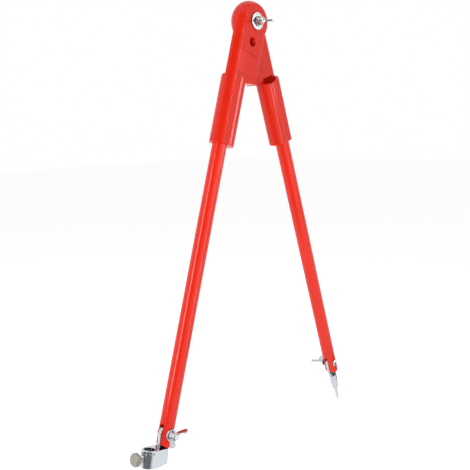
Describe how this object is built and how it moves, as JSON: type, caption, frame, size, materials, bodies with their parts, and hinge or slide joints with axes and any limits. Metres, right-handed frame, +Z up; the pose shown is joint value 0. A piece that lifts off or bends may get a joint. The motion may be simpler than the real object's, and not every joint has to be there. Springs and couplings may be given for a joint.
{
  "type": "carpenters compass",
  "caption": "Large carpenter's compass with two red legs on a pivot bolt, a clamp for a pencil on one foot and a steel spike on the other.",
  "frame": {"origin": "on the floor, under the middle of the compass's box as it stands open at rest, with the spike's tip at floor height", "axes": "+Z up along the compass's height, with the pivot at the top; the pivot's axis runs along Y, with its wing nut towards -Y; the pencil's foot is towards -X and the spike's towards +X"},
  "size_m": [0.3544, 0.0486, 0.502],
  "materials": {
    "red_moulding": "moulded, satin to glossy",
    "red_leg": "smooth, glossy",
    "zinc_steel": "zinc plated",
    "bright_casting": "bright plated casting",
    "grey_knob": "dull plated, knurled"
  },
  "bodies": {
    "spike_side": {"right_arm": "red_moulding", "right_leg": "red_leg", "pivot_bolt": "zinc_steel", "pivot_back_washer": "zinc_steel", "spike_bolt": "zinc_steel", "spike_washer": "zinc_steel"},
    "pencil_side": {"left_arm": "red_moulding", "left_leg": "red_leg", "pivot_front_washer": "zinc_steel", "pencil_bolt": "zinc_steel", "pencil_washer": "zinc_steel"},
    "pivot_nut": {"pivot_wing_nut": "zinc_steel"},
    "holder": {"pencil_holder": "bright_casting"},
    "clamp": {"clamp_screw": "zinc_steel", "clamp_knob": "grey_knob"},
    "pencil_nut": {"pencil_wing_nut": "zinc_steel"},
    "spike": {"spike_holder": "bright_casting", "spike_point": "zinc_steel"},
    "spike_nut": {"spike_wing_nut": "zinc_steel"}
  },
  "joints": [
    {"name": "opening", "type": "hinge", "parent": "spike_side", "child": "pencil_side", "pos_m": [0.0116, 0.00155, 0.47983], "axis": [0, 1, 0], "range_deg": [-24.2, 144.3]},
    {"name": "pivot_nut_turn", "type": "hinge", "parent": "spike_side", "child": "pivot_nut", "pos_m": [0.0116, 0.00155, 0.47983], "axis": [0, -1, 0], "continuous": true},
    {"name": "holder_tilt", "type": "hinge", "parent": "pencil_side", "child": "holder", "pos_m": [-0.13313, 0.00155, 0.06439], "axis": [0, 1, 0], "range_deg": [-68, 82]},
    {"name": "clamp_travel", "type": "slide", "parent": "holder", "child": "clamp", "axis": [0.9822, 0, -0.1881], "range_m": [-0.0015, 0.0049]},
    {"name": "pencil_nut_turn", "type": "hinge", "parent": "pencil_side", "child": "pencil_nut", "pos_m": [-0.13313, 0.00155, 0.06439], "axis": [0, -1, 0], "continuous": true},
    {"name": "spike_tilt", "type": "hinge", "parent": "spike_side", "child": "spike", "pos_m": [0.15786, 0.00155, 0.05964], "axis": [0, 1, 0], "range_deg": [-75, 75]},
    {"name": "spike_nut_turn", "type": "hinge", "parent": "spike_side", "child": "spike_nut", "pos_m": [0.15786, 0.00155, 0.05964], "axis": [0, 1, 0], "continuous": true}
  ]
}
